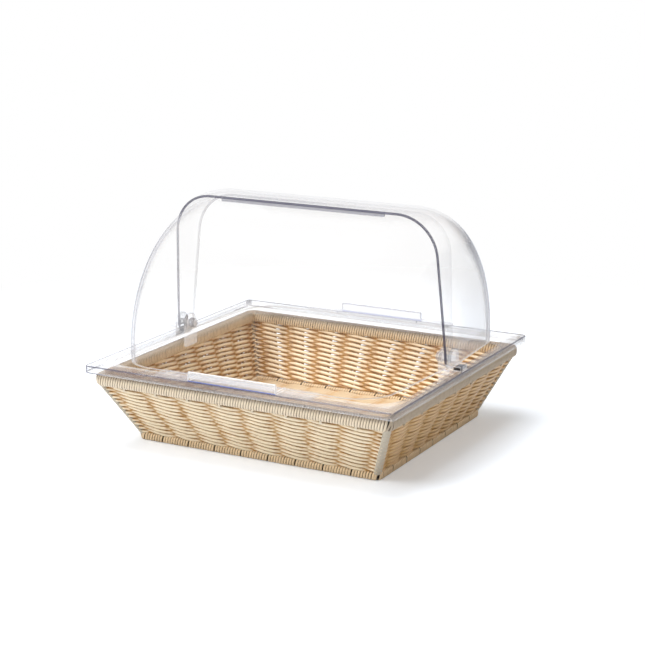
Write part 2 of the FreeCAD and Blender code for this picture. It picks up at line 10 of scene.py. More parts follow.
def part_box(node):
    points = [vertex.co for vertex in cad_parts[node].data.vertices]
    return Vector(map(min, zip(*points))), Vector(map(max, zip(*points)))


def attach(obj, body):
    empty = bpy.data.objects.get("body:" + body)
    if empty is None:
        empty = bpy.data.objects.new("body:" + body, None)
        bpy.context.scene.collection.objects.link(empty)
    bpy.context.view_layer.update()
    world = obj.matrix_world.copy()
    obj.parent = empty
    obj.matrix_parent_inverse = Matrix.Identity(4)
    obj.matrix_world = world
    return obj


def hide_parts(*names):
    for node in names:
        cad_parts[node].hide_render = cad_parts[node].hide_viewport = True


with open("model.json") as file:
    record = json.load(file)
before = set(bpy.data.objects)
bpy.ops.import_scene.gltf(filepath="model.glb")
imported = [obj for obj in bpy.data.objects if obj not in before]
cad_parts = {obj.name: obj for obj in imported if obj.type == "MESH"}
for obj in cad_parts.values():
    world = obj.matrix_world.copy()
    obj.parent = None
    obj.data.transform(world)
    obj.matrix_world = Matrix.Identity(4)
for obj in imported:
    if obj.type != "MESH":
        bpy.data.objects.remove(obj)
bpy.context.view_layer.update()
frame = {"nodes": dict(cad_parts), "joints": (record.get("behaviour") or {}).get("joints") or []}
nodes = frame["nodes"]

# The view of the photograph: a long lens looking down on the bin from its front right, a
# little rolled. The picture is square, and the focal length is given in its pixels.
PHOTO_WIDTH = 645
FOCAL_PIXELS = 1712
AIM_POINT = Vector((0.09676, -0.15232, 0.16152))
AIM_DISTANCE = 1.61287
TURNED, RAISED, ROLLED = (math.radians(angle) for angle in (28.88, 14.41, -0.27))
back = Vector((math.sin(TURNED) * math.cos(RAISED),
               -math.cos(TURNED) * math.cos(RAISED), math.sin(RAISED)))
camera_data = bpy.data.cameras.new("photo_view")
camera_data.sensor_fit = "HORIZONTAL"
camera_data.sensor_width = 36
camera_data.lens = FOCAL_PIXELS / PHOTO_WIDTH * camera_data.sensor_width
camera_data.clip_start, camera_data.clip_end = 0.05, 60
camera = bpy.data.objects.new("photo_view", camera_data)
camera.location = AIM_POINT + back * AIM_DISTANCE
camera.rotation_mode = "QUATERNION"
camera.rotation_quaternion = ((-back).to_track_quat("-Z", "Y")
                              @ Quaternion((0, 0, 1), ROLLED))
bpy.context.scene.collection.objects.link(camera)
bpy.context.scene.camera = camera
bpy.context.scene.view_settings.view_transform = "Standard"


# The room: an even pale light from all round, which looks white to the camera, and three
# lamps. The broad soft one in front and to the left shades the right side of the bin, one
# hangs above, and a small warm one stands to the right.
class Shade:
    """A socket in a node tree, so that shader maths reads as plain expressions."""

    def __init__(self, tree, socket=None):
        self.tree, self.socket = tree, socket

    def node(self, kind, settings, inputs, output=0):
        """Adds a node: its settings first, then the values or links of its sockets."""
        made = self.tree.nodes.new(kind)
        for name, value in settings.items():
            if name == "stops":
                ramp = made.color_ramp.elements
                ramp.remove(ramp[1])
                ramp[0].position, ramp[0].color = value[0]
                for place, colour in value[1:]:
                    ramp.new(place).color = colour
            else:
                setattr(made, name, value)
        for name, value in inputs.items():
            self.join(made.inputs[name], value)
        return Shade(self.tree, made.outputs[output])

    def join(self, socket, value):
        if isinstance(value, Shade):
            self.tree.links.new(value.socket, socket)
        else:
            socket.default_value = value

    def maths(self, operation, first, second):
        return self.node("ShaderNodeMath", {"operation": operation}, {0: first, 1: second})

    def __add__(self, other):
        return self.maths("ADD", self, other)

    def __sub__(self, other):
        return self.maths("SUBTRACT", self, other)

    def __mul__(self, other):
        return self.maths("MULTIPLY", self, other)

    def __radd__(self, other):
        return self.maths("ADD", other, self)

    def __rsub__(self, other):
        return self.maths("SUBTRACT", other, self)

    def __rmul__(self, other):
        return self.maths("MULTIPLY", other, self)

    def at_least(self, other):
        return self.maths("MAXIMUM", self, other)

    def at_most(self, other):
        return self.maths("MINIMUM", self, other)

    def root(self):
        return self.maths("POWER", self, 0.5)

    def size(self):
        return self.node("ShaderNodeMath", {"operation": "ABSOLUTE"}, {0: self})

    def ease(self, start, stop):
        """0 up to start and 1 from stop on, or the other way round, with a smooth step."""
        return self.node("ShaderNodeMapRange", {"interpolation_type": "SMOOTHSTEP"},
                         {"Value": self, "From Min": start, "From Max": stop})

    def tint(self, low, high):
        """The colour low where this is 0, high where it is 1."""
        return self.node("ShaderNodeMix", {"data_type": "RGBA"}, {0: self, 6: low, 7: high}, 2)


WORLD_LIGHT = 0.36
KEY_WATTS, TOP_WATTS, WARM_WATTS = 72, 46, 4
world = bpy.data.worlds.new("pale_room")
bpy.context.scene.world = world
world.use_nodes = True
room = Shade(world.node_tree)
light_path = room.node("ShaderNodeLightPath", {}, {}, "Is Camera Ray")
glossy = Shade(room.tree, light_path.socket.node.outputs["Is Glossy Ray"])
passing = Shade(room.tree, light_path.socket.node.outputs["Is Transmission Ray"])
lighting = room.node("ShaderNodeBackground", {}, {"Color": (1.0, 0.995, 0.985, 1),
                                                  "Strength": WORLD_LIGHT})
seen = room.node("ShaderNodeBackground", {}, {"Color": (1, 1, 1, 1), "Strength": 1.0})
surround = room.node("ShaderNodeMixShader", {}, {0: (light_path + glossy + passing).at_most(1),
                                                 1: lighting, 2: seen})
room.join(world.node_tree.nodes["World Output"].inputs["Surface"], surround)
world.node_tree.nodes.remove(world.node_tree.nodes["Background"])


def add_lamp(name, place, target, width, watts, colour):
    lamp_data = bpy.data.lights.new(name, "AREA")
    lamp_data.shape = "DISK"
    lamp_data.size = width
    lamp_data.energy = watts
    lamp_data.color = colour
    lamp = bpy.data.objects.new(name, lamp_data)
    lamp.location = place
    lamp.rotation_euler = (Vector(target) - Vector(place)).to_track_quat("-Z", "Y").to_euler()
    bpy.context.scene.collection.objects.link(lamp)


add_lamp("key_lamp", (-1.5, -2.0, 2.5), (0, 0, 0.08), 2.2, KEY_WATTS, (1.0, 0.985, 0.97))
add_lamp("top_lamp", (-0.5, 0.2, 2.4), (0, 0, 0.1), 1.8, TOP_WATTS, (1.0, 1.0, 1.0))
add_lamp("warm_lamp", (1.9, 0.5, 1.5), (0.15, 0, 0.05), 0.35, WARM_WATTS, (1.0, 0.90, 0.75))


# The counter: a pale matt sheet that keeps the soft shadow of the bin and is otherwise as
# white as the background of the photograph.
FLOOR_HALF = 8.0
COUNTER_GLOW = 0.24
FADE_START, FADE_END = 0.35, 0.8
floor_mesh = bpy.data.meshes.new("counter")
form = bmesh.new()
bmesh.ops.create_grid(form, x_segments=1, y_segments=1, size=FLOOR_HALF)
form.to_mesh(floor_mesh)
form.free()
floor = bpy.data.objects.new("counter", floor_mesh)
bpy.context.scene.collection.objects.link(floor)
counter_white = bpy.data.materials.new("counter_white")
counter_white.use_nodes = True
counter_tree = counter_white.node_tree
counter_tree.nodes.remove(counter_tree.nodes["Principled BSDF"])
counter = Shade(counter_tree)
matt = counter.node("ShaderNodeBsdfDiffuse", {}, {"Color": (0.80, 0.85, 0.92, 1)})
glow = counter.node("ShaderNodeEmission", {}, {"Color": (1, 1, 1, 1),
                                                      "Strength": COUNTER_GLOW})
lit = counter.node("ShaderNodeAddShader", {}, {0: matt, 1: glow})
white = counter.node("ShaderNodeEmission", {}, {"Color": (1, 1, 1, 1), "Strength": 1.0})
around = counter.node("ShaderNodeTexCoord", {}, {}, "Object")
distance = counter.node("ShaderNodeVectorMath", {"operation": "LENGTH"}, {0: around}, "Value")
far_off = distance.ease(FADE_START, FADE_END)
both = counter.node("ShaderNodeMixShader", {}, {0: far_off, 1: lit, 2: white})
camera_only = counter.node("ShaderNodeLightPath", {}, {}, "Is Camera Ray")
shown = counter.node("ShaderNodeMixShader", {}, {0: camera_only, 1: matt, 2: both})
counter.join(counter_tree.nodes["Material Output"].inputs["Surface"], shown)
floor_mesh.materials.append(counter_white)


# The steel frames: two flat bars bent to rectangles, welded and lacquered dark brown, which
# show only where the cane leaves the corners bare.
def new_finish(name, **plain):
    """A material, its shader, and a Shade to build on; plain sets the shader's own sockets."""
    material = bpy.data.materials.new(name)
    material.use_nodes = True
    tree = material.node_tree
    shader = tree.nodes["Principled BSDF"]
    for socket, value in plain.items():
        shader.inputs[socket.replace("_", " ")].default_value = value
    return material, shader, Shade(tree)


def places(shade):
    """Object coordinates, in metres."""
    return shade.node("ShaderNodeTexCoord", {}, {}, "Object")


def split(shade):
    """Object coordinates as three separate numbers."""
    parts = shade.node("ShaderNodeSeparateXYZ", {}, {"Vector": places(shade)})
    return [Shade(shade.tree, socket) for socket in parts.socket.node.outputs]


def noise(shade, vector, scale, detail=3.0):
    return shade.node("ShaderNodeTexNoise", {}, {"Vector": vector, "Scale": scale,
                                                "Detail": detail})


def dress(material, *names):
    """Gives a material to CAD nodes that keep their own shape."""
    for name in names:
        mesh = nodes[name].data
        mesh.materials.clear()
        mesh.materials.append(material)
        for face in mesh.polygons:
            face.material_index = 0


lacquer, lacquer_shader, lacquer_shade = new_finish("dark_lacquered_steel", Metallic=0.25)
blotches = noise(lacquer_shade, places(lacquer_shade), 260)
lacquer_shade.join(lacquer_shader.inputs["Base Color"],
                   blotches.tint((0.030, 0.021, 0.016, 1), (0.075, 0.052, 0.036, 1)))
lacquer_shade.join(lacquer_shader.inputs["Roughness"], 0.32 + blotches * 0.2)
dress(lacquer, "rim_steel_frame", "base_steel_frame")


# The wound rims: flat cane wound in close turns round the steel bars, front, back, left and
# right, and fanned round their bends. At each stake the base winding leaves a gap and the rim
# winding ties down the wall. The cane is synthetic and satin, with a fine grain along it.
CANE_WIDTH = 0.0030
CANE_THICK = 0.0013
CANE_SIDES = 6
TURN_STEPS = 20
TURN_SQUARENESS = 3.4
PARTING = 0.0011
FAN = (9, 27)
CROSSED_AT = FAN[-1] + 16
CROSSED_TILT = 0.30
TURN_SWELL, TURN_TILT = 0.012, 0.03
TIE_BELOW, TIE_ABOVE, TIE_THIN, TIE_CREST = 1.5, 0.9, 0.55, 0.9
RIM_BEND, RIM_LEAN = 0.0045, 0.0012
BASE_BEND, BASE_LEAN = 0.0042, 0.0008
CANE_COAT, CANE_COAT_ROUGHNESS = 0.25, 0.28
GRAIN_STRETCH, GRAIN_SCALE, GRAIN_HEIGHT = (40, 9, 1), 6, 0.0004
BLOTCH_SCALE = 90
GROOVE_STOP, PALE_STOP = 0.45, 0.78
# A painted shadow of the frame along the top of the rim winding: where it starts, how soft its
# edge is, and its colour.
FRAME_SHADOW_FROM = 0.0737
FRAME_SHADOW_SOFT = 0.003
FRAME_SHADOW_BROWN = (0.30, 0.22, 0.15, 1)
WRAP_SIDES = {"front": 0, "right": 90, "back": 180, "left": 270}
FRONT_STAKES, SIDE_STAKES = 8, 7
random.seed(7)


def cane_finish(name, pale, hollow_shade, groove_shade, frame_shadow_height=None):
    """Satin cane, with painted light and shade: pale on its crests and dark in its hollows,
    by the mesh's own attribute, with a fine grain along each strand by its UV map. Above the
    height given last, if any, a painted shadow of the frame darkens it."""
    material, shader, shade = new_finish(name, Coat_Weight=CANE_COAT,
                                         Coat_Roughness=CANE_COAT_ROUGHNESS)
    crest = shade.node("ShaderNodeAttribute", {"attribute_name": "crest"}, {}, "Fac")
    along = shade.node("ShaderNodeUVMap", {}, {})
    stretched = along.node("ShaderNodeMapping", {}, {"Vector": along,
                                                       "Scale": GRAIN_STRETCH})
    grain = noise(shade, stretched, GRAIN_SCALE, 5.0)
    blotch = noise(shade, places(shade), BLOTCH_SCALE, 2.0)
    lift = (crest + (blotch - 0.5) * 0.35 + (grain - 0.5) * 0.3).at_least(0).at_most(1)
    # Painted light and shade: by the attribute, the ramp runs from the dark of the hollows to
    # the pale of the crests.
    stops = [(0.0, hollow_shade), (GROOVE_STOP, groove_shade), (PALE_STOP, pale)]
    colour = shade.node("ShaderNodeValToRGB", {"stops": stops}, {0: lift})
    # A painted shadow of the frame darkens the cane above the given height.
    if frame_shadow_height is not None:
        height = split(shade)[2]
        shadow = height.ease(frame_shadow_height - FRAME_SHADOW_SOFT, frame_shadow_height + FRAME_SHADOW_SOFT)
        colour = (shadow * 0.9).tint(colour, FRAME_SHADOW_BROWN)
    shade.join(shader.inputs["Base Color"], colour)
    shade.join(shader.inputs["Roughness"], 0.34 + grain * 0.22)
    bump = shade.node("ShaderNodeBump", {}, {"Strength": 0.25, "Distance": GRAIN_HEIGHT,
                                             "Height": grain})
    shade.join(shader.inputs["Normal"], bump)
    return material


# The rim winding carries the painted shadow of the frame along its top.
wrap_cane = cane_finish("wound_cane", (0.88, 0.74, 0.55, 1), (0.10, 0.065, 0.04, 1),
                        (0.45, 0.31, 0.17, 1), FRAME_SHADOW_FROM)
base_cane = cane_finish("base_cane", (0.84, 0.63, 0.39, 1), (0.12, 0.07, 0.035, 1),
                        (0.44, 0.28, 0.13, 1))
shaded_cane = cane_finish("shaded_wrap", (0.52, 0.41, 0.29, 1), (0.14, 0.09, 0.05, 1),
                          (0.34, 0.25, 0.16, 1))


def marked(form):
    """The attribute of painted light and shade and the UV map that a cane mesh carries, as
    layers of its bmesh.
    """
    crest = form.verts.layers.float.get("crest") or form.verts.layers.float.new("crest")
    grain = form.loops.layers.uv.get("grain") or form.loops.layers.uv.new("grain")
    return crest, grain


def piece_of(name, form, material, replaced):
    """Turns a finished bmesh into a smooth piece of the basket, in place of a CAD node."""
    mesh = bpy.data.meshes.new(name)
    for face in form.faces:
        face.smooth = True
    form.to_mesh(mesh)
    form.free()
    mesh.materials.append(material)
    made = bpy.data.objects.new(name, mesh)
    bpy.context.scene.collection.objects.link(made)
    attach(made, "basket")
    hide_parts(replaced)


def cane_turn(half, squareness, lean):
    """One turn of cane about the X axis: a ring of flat-oval section, drawn out square. lean
    is how far its top is set along the bar at the front, and set back at the rear."""
    form = bmesh.new()
    crest, grain = marked(form)
    bmesh.ops.create_circle(form, segments=CANE_SIDES, radius=1.0)
    bmesh.ops.scale(form, vec=(CANE_WIDTH / 2, CANE_THICK / 2, 1), verts=form.verts)
    stand = Matrix.Translation((0, 0, half)) @ Matrix.Rotation(math.radians(90), 4, "X")
    bmesh.ops.transform(form, matrix=stand, verts=form.verts)
    bmesh.ops.spin(form, geom=form.verts[:] + form.edges[:], cent=(0, 0, 0), axis=(1, 0, 0),
                   dvec=(0, 0, 0), angle=math.tau, steps=TURN_STEPS, use_merge=True,
                   use_duplicate=False)
    bmesh.ops.remove_doubles(form, verts=form.verts, dist=1e-6)
    bmesh.ops.recalc_face_normals(form, faces=form.faces)
    for vert in form.verts:
        reach = math.hypot(vert.co.y, vert.co.z)
        out = Vector((vert.co.y / reach, vert.co.z / reach))
        stretch = (abs(out.x) ** squareness + abs(out.y) ** squareness) ** (-1 / squareness)
        height = reach - half
        # Painted light and shade: a turn is pale on its outer face and dark on its inner face,
        # against the bar.
        vert[crest] = 0.25 + 0.75 * height / (CANE_THICK / 2)
        reach = half * stretch + height
        vert.co.y, vert.co.z = out.x * reach, out.y * reach
        vert.co.x += lean * vert.co.z / half * (1 if vert.co.y < 0 else -1)
    for face in form.faces:
        for loop in face.loops:
            turn = math.atan2(loop.vert.co.z, loop.vert.co.y) / math.tau
            loop[grain].uv = (turn * half * 8, loop.vert.co.x)
    mesh = bpy.data.meshes.new("cane_turn")
    form.to_mesh(mesh)
    form.free()
    return mesh


def winding(name, reach, half, bend, lean, gaps, ties, place, replaced, material,
            crossed):
    """Turns of cane side by side along a bar, and fanned round the first half of its bend
    at each end, at the angles of FAN in degrees. They part a little at a gap, and at a tie
    one more reaches lower. Where the ends are crossed, a last turn lies askew over the
    corner."""
    turn = cane_turn(half - CANE_THICK / 2, TURN_SQUARENESS, lean)
    form = bmesh.new()
    marked(form)
    stops = [-reach] + gaps + [reach]
    stations = []
    for start, stop in zip(stops, stops[1:]):
        free = stop - start - (PARTING if gaps else 0)
        count = round(free / CANE_WIDTH)
        stations += [((start + stop) / 2 + ((number + 0.5) / count - 0.5) * free, 0)
                     for number in range(count)]
    for end in (-1, 1):
        stations += [(end * reach, end * math.radians(angle)) for angle in FAN]
        if crossed:
            stations.append((end * reach, end * math.radians(CROSSED_AT)))
    for across, angle, tied in [(*station, False) for station in stations] + [
            (tie, 0, True) for tie in ties]:
        first = len(form.verts)
        form.from_mesh(turn)
        form.verts.ensure_lookup_table()
        swell = 1 + random.uniform(-TURN_SWELL, TURN_SWELL)
        tilt = random.uniform(-TURN_TILT, TURN_TILT)
        fan = Matrix.Rotation(angle, 3, "Z")
        if abs(angle) > math.radians((FAN[-1] + CROSSED_AT) / 2):
            tilt = math.copysign(CROSSED_TILT, -angle)
        for vert in form.verts[first:]:
            if tied:
                vert.co.z *= TIE_BELOW if vert.co.z < 0 else TIE_ABOVE
                vert.co.y *= TIE_THIN
                # A tied turn is painted evenly pale, without the painted shade inside its loop.
                vert[form.verts.layers.float["crest"]] = TIE_CREST
            spot = Vector((vert.co.x + tilt * vert.co.z, vert.co.y * swell - bend,
                           vert.co.z * swell))
            vert.co = fan @ spot + Vector((across, bend, 0))
    bmesh.ops.transform(form, matrix=place, verts=form.verts)
    piece_of(name, form, material, replaced)


def stake_places(span, count):
    """The places of the stakes along a side, from its middle."""
    return [(2 * number / (count + 1) - 1) * span / 2 for number in range(1, count + 1)]


rim_span = {"front": -2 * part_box("rim_wrap_left")[0].x,
            "side": -2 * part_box("rim_wrap_front")[0].y}
base_span = {"front": -2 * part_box("base_wrap_left")[0].x,
             "side": -2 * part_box("base_wrap_front")[0].y}
for node, spans, bend, lean in (("rim_wrap_", rim_span, RIM_BEND, RIM_LEAN),
                                ("base_wrap_", base_span, BASE_BEND, BASE_LEAN)):
    for side, turned in WRAP_SIDES.items():
        kind = "front" if side in ("front", "back") else "side"
        low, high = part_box(node + side)
        half = (high.z - low.z) / 2
        stakes = stake_places(spans[kind], FRONT_STAKES if kind == "front" else SIDE_STAKES)
        if node == "rim_wrap_":
            slot, gaps, ties, crossed = "rim_cane", [], stakes, kind == "side"
            finish = shaded_cane if side == "right" else wrap_cane
        else:
            slot, gaps, ties, crossed = "base_cane", stakes, [], False
            finish = base_cane
        place = (Matrix.Translation((low + high) / 2)
                 @ Matrix.Rotation(math.radians(turned), 4, "Z"))
        winding(node.replace("_wrap_", "_winding_") + side, spans[kind] / 2 - half - bend,
                half, bend, lean, gaps, ties, place, node + side, finish, crossed)


# The corner posts: rods between the two steel frames, wound with cane from rim to base. The
# winding is flat, with its wide way across the corner, and its turns overlap a little.
POST_WIDE, POST_DEEP = 0.0042, 0.0026
POST_ROUND = 2.0
POST_LEAN = 0.0004
POST_INSET = 0.003
POST_SWELL = 0.03
POST_OVERLAP_SHARE = 0.82
post_cane = cane_finish("post_cane", (0.62, 0.54, 0.42, 1), (0.16, 0.10, 0.05, 1),
                        (0.42, 0.33, 0.22, 1))
post_turn = cane_turn(POST_WIDE - CANE_THICK / 2, POST_ROUND, POST_LEAN)
for depth, away in (("front", -1), ("back", 1)):
    for side, across in (("left", -1), ("right", 1)):
        name = "corner_post_%s_%s" % (depth, side)
        low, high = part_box(name)
        near_x, far_x = sorted((abs(low.x), abs(high.x)))
        near_y, far_y = sorted((abs(low.y), abs(high.y)))
        foot = Vector((across * (near_x + POST_INSET), away * (near_y + POST_INSET), low.z))
        head = Vector((across * (far_x - POST_INSET), away * (far_y - POST_INSET), high.z))
        along = (head - foot).normalized()
        wide = Vector((-away, across, 0)).normalized()
        stand = Matrix((along, wide, along.cross(wide))).transposed().to_4x4()
        length = (head - foot).length
        form = bmesh.new()
        marked(form)
        count = int(length / (CANE_WIDTH * POST_OVERLAP_SHARE))
        for number in range(count):
            first = len(form.verts)
            form.from_mesh(post_turn)
            form.verts.ensure_lookup_table()
            swell = 1 + random.uniform(-POST_SWELL, POST_SWELL)
            shift = (number + 0.5) * length / count
            for vert in form.verts[first:]:
                vert.co = Vector((vert.co.x + shift, vert.co.y * swell,
                                  vert.co.z * swell * POST_DEEP / POST_WIDE))
        bmesh.ops.transform(form, matrix=Matrix.Translation(foot) @ stand, verts=form.verts)
        piece_of("wound_post_%s_%s" % (depth, side), form, post_cane, name)


# The woven walls: round cane twined in pairs. The two strands of a row pass on either side
# of a stake and change places before the next, so every pass in front runs down to the right.
# Light and shade are painted on: a point of a strand is paler the further it stands out and
# where it faces outwards, and darker on the inside of the wall.
wall_cane = cane_finish("woven_cane", (0.97, 0.81, 0.57, 1), (0.14, 0.05, 0.01, 1),
                        (0.54, 0.28, 0.07, 1))
# A darker copy of the woven cane: painted shade on the right wall, away from the broad lamp.
shaded_wall_cane = cane_finish("shaded_wall_cane", (0.68, 0.44, 0.20, 1), (0.16, 0.05, 0.01, 1),
                         (0.50, 0.25, 0.05, 1))
ROWS = 12
WALL_THICK = 0.0076
STRAND_RADIUS = 0.0016
STRAND_TALL = 1.3
STRAND_SIDES = 7
STEPS_PER_BAY = 10
TWIST_OUT = 0.00185
TWIST_UP = 0.00145
ROW_DRIFT, ROW_LIFT = 0.04, 0.0002
END_SLIM = 0.3
CREST_LEAST, CREST_AT_STAKE, CREST_FACING = 0.21, 0.29, 0.5
CREST_BETWEEN_SHARE = 0.4
CREST_INSIDE_LOSS = 0.08


def straight_strand(cuts):
    """A straight strand of unit length along X, cut into short lengths, ready to be led."""
    form = bmesh.new()
    marked(form)
    bmesh.ops.create_cone(form, cap_ends=True, segments=STRAND_SIDES, radius1=STRAND_RADIUS,
                          radius2=STRAND_RADIUS, depth=1.0,
                          matrix=Matrix.Rotation(math.radians(90), 4, "Y"))
    lengths = [edge for edge in form.edges
               if abs(edge.verts[0].co.x - edge.verts[1].co.x) > 0.5]
    bmesh.ops.subdivide_edges(form, edges=lengths, cuts=cuts)
    mesh = bpy.data.meshes.new("straight_strand")
    form.to_mesh(mesh)
    form.free()
    return mesh


def twined(name, rows, bays, lead, material, replaced):
    """Rows of paired strands. lead gives the point on the middle of the wall for a place
    along the row, from 0 to 1, and a row; with it the way out and the way up, and the count
    of stakes up to there, which the strands twist by."""
    strand = straight_strand(bays * STEPS_PER_BAY - 1)
    form = bmesh.new()
    crest, grain = marked(form)
    for row in range(rows):
        drift = random.uniform(-ROW_DRIFT, ROW_DRIFT)
        lift = random.uniform(-ROW_LIFT, ROW_LIFT)
        for strand_number in range(2):
            first = len(form.verts)
            form.from_mesh(strand)
            form.verts.ensure_lookup_table()
            for vert in form.verts[first:]:
                share = min(max(vert.co.x + 0.5, 0), 1)
                point, out, up, stake = lead(share, (row + 0.5) / rows)
                phase = math.pi * (stake + drift + strand_number)
                depth = TWIST_OUT * math.cos(phase)
                rise = -TWIST_UP * math.sin(phase) + lift
                # Painted light and shade: paler where a strand stands out and faces outwards,
                # darker inside.
                facing = abs(vert.co.y) / STRAND_RADIUS
                if depth * vert.co.y <= 0:
                    facing *= CREST_BETWEEN_SHARE
                inside = CREST_INSIDE_LOSS if depth + vert.co.y < 0 else 0
                vert[crest] = (CREST_LEAST - inside + CREST_AT_STAKE * abs(depth) / TWIST_OUT
                               + CREST_FACING * facing)
                slim = 1 - END_SLIM * max(0, 1 - min(share, 1 - share) * bays * 2)
                vert.co = (point + out * (depth + vert.co.y)
                           + up * (rise + vert.co.z * STRAND_TALL * slim))
    for face in form.faces:
        for loop in face.loops:
            loop[grain].uv = (loop.vert.co.x + loop.vert.co.y, loop.vert.co.z)
    piece_of(name, form, material, replaced)


front_low, front_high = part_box("weave_front")
side_low, side_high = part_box("weave_left")
reach_low = {"front": -front_high.y + WALL_THICK / 2, "side": -side_high.x + WALL_THICK / 2}
reach_high = {"front": -front_low.y - WALL_THICK / 2, "side": -side_low.x - WALL_THICK / 2}
for side, turned in WRAP_SIDES.items():
    kind, other = ("front", "side") if side in ("front", "back") else ("side", "front")
    bays = (FRONT_STAKES if kind == "front" else SIDE_STAKES) + 1
    foot = Vector((0, -reach_low[kind], front_low.z))
    head = Vector((0, -reach_high[kind], front_high.z))
    up = (head - foot).normalized()
    out = Vector((0, -up.z, up.y))
    spin = Matrix.Rotation(math.radians(turned), 3, "Z")

    def lead_wall(share, height):
        half = reach_low[other] + (reach_high[other] - reach_low[other]) * height
        span = base_span[kind] + (rim_span[kind] - base_span[kind]) * height
        across = (2 * share - 1) * half
        point = foot.lerp(head, height) + Vector((across, 0, 0))
        stake = (across / (span / 2) + 1) / 2 * bays
        return spin @ point, spin @ out, spin @ up, stake

    # The right wall takes the darker copy, as painted shade.
    twined("twined_wall_" + side, ROWS, bays, lead_wall,
           shaded_wall_cane if side == "right" else wall_cane, "weave_" + side)


# The woven floor: the same cane twined round the floor's own stakes, which run from front to
# back. Its strands stand out less than those of the walls. The stakes of the walls and of the
# floor keep their CAD shape.
FLOOR_ROWS = 48
FLOOR_FLATNESS = 0.72
floor_cane = cane_finish("floor_cane", (0.66, 0.50, 0.31, 1), (0.28, 0.12, 0.03, 1),
                         (0.50, 0.28, 0.10, 1))
floor_low, floor_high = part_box("floor_weave")


def lead_floor(share, height):
    across = floor_low.x + (floor_high.x - floor_low.x) * share
    along = floor_low.y + (floor_high.y - floor_low.y) * height
    point = Vector((across, along, (floor_low.z + floor_high.z) / 2))
    stake = (across / (base_span["front"] / 2) + 1) / 2 * (FRONT_STAKES + 1)
    return point, Vector((0, 0, FLOOR_FLATNESS)), Vector((0, 1, 0)), stake


twined("twined_floor", FLOOR_ROWS, FRONT_STAKES + 1, lead_floor, floor_cane,
       "floor_weave")
stake_cane = cane_finish("stake_cane", (0.62, 0.44, 0.22, 1), (0.42, 0.24, 0.09, 1),
                         (0.52, 0.34, 0.15, 1))
dress(stake_cane, "stakes_front", "stakes_back", "stakes_left", "stakes_right", "floor_stakes")


# The clear frame: one moulding of clear plastic, which all but vanishes face on. It shows by
# its edges, where light that ran along inside the wall comes out violet grey or white; these
# are painted lines of shade and highlight. Where it lies over the rim it carries a painted
# brown, for the cane in shade seen through it.
VIOLET_GREY = (0.075, 0.07, 0.12, 1)
SOFT_GREY = (0.27, 0.27, 0.33, 1)
CORNER_GREY = (0.22, 0.22, 0.27, 1)
CLEAR_WHITE = (0.93, 0.93, 0.95, 1)
WHITE = (1, 1, 1, 1)
PLASTIC_ROUGHNESS, PLASTIC_IOR = 0.05, 1.49
GRAZE_FROM, GRAZE_FULL = 0.50, 0.96
CROWN_HEIGHT, SHOULDER_HEIGHT, CROWN_SHARE = 0.245, 0.19, 0.14
RIGHT_FROM, RIGHT_FULL, RIGHT_EXTRA = 0.05, 0.15, 0.25
SOFT = 0.0010
SKIRT_HEIGHT = 0.008
SKIRT_LINE = 0.0012
SKIRT_SEEN = 0.0034
CLEAR_FOOT = 0.0014
TOP_LINE, TOP_LINE_DEPTH = 0.0016, 0.0020
CORNER_ROUND, CORNER_REACH, CORNER_FADE = 0.0060, 0.045, 0.025
RIM_REACH, RIM_FADE = 0.020, 0.008
RIM_LEFT_END = 0.156
RIGHT_FLANGE = 0.0126
MOUTH_INSET = 0.0112


def clear_finish(name, faint, grazing, *marks, glow=0.0):
    """Clear plastic: faint face on, and a soft grey of painted light and shade where the eye
    runs along the wall, least over the crown of the covers and most on their right side, away
    from the broad lamp. Each mark is a function of the three coordinates, the colour that it
    lays on and how densely. The glow is painted light, for light that has run along inside a
    thick moulding."""
    material, shader, shade = new_finish(name, Roughness=PLASTIC_ROUGHNESS, IOR=PLASTIC_IOR,
                                         Emission_Strength=glow)
    x, y, z = split(shade)
    facing = shade.node("ShaderNodeLayerWeight", {}, {"Blend": 0.5}, "Facing")
    graze = facing.ease(GRAZE_FROM, GRAZE_FULL)
    haze = noise(shade, places(shade), 11, 2.0)
    fades = (z.ease(CROWN_HEIGHT, SHOULDER_HEIGHT).at_least(CROWN_SHARE)
             * (1 + x.ease(RIGHT_FROM, RIGHT_FULL) * RIGHT_EXTRA))
    density = faint * (0.8 + haze * 0.4) + graze * grazing * fades
    colour = graze.tint(CLEAR_WHITE, SOFT_GREY)
    for mask, tint, strength in marks:
        amount = mask(x, y, z)
        density = density.at_least(amount * strength)
        colour = amount.tint(colour, tint)
    shade.join(shader.inputs["Base Color"], colour)
    if glow:
        shade.join(shader.inputs["Emission Color"], colour)
    shade.join(shader.inputs["Alpha"], density.at_least(0).at_most(1))
    return material


def band(value, place, width):
    """1 on a line of the given width about a place, 0 elsewhere, with soft sides."""
    return (value - place).size().ease(width * 0.75, width * 0.35)


def past(value, place, soft=SOFT):
    """0 up to a place and 1 beyond it, with a soft step of the given width."""
    return value.ease(place, place + soft)


frame_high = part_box("cover_frame")[1]
skirt_foot = frame_high.z - SKIRT_HEIGHT


def outside_of_frame(x, y):
    """How far a place lies outside the outer edge of the frame; it is negative within."""
    return (x.size() - frame_high.x).at_least(y.size() - frame_high.y)


def top_edge(x, y, z):
    """The dark outer edge of the flange, at its top: a painted line of shade."""
    outer = past(outside_of_frame(x, y), -TOP_LINE)
    return outer * past(z, frame_high.z - TOP_LINE_DEPTH)


def skirt_edge(x, y, z):
    """The bright line along the foot of the skirt: a painted highlight."""
    line = band(z, skirt_foot + SKIRT_LINE / 3, SKIRT_LINE)
    return line * past(outside_of_frame(x, y), -SKIRT_SEEN)


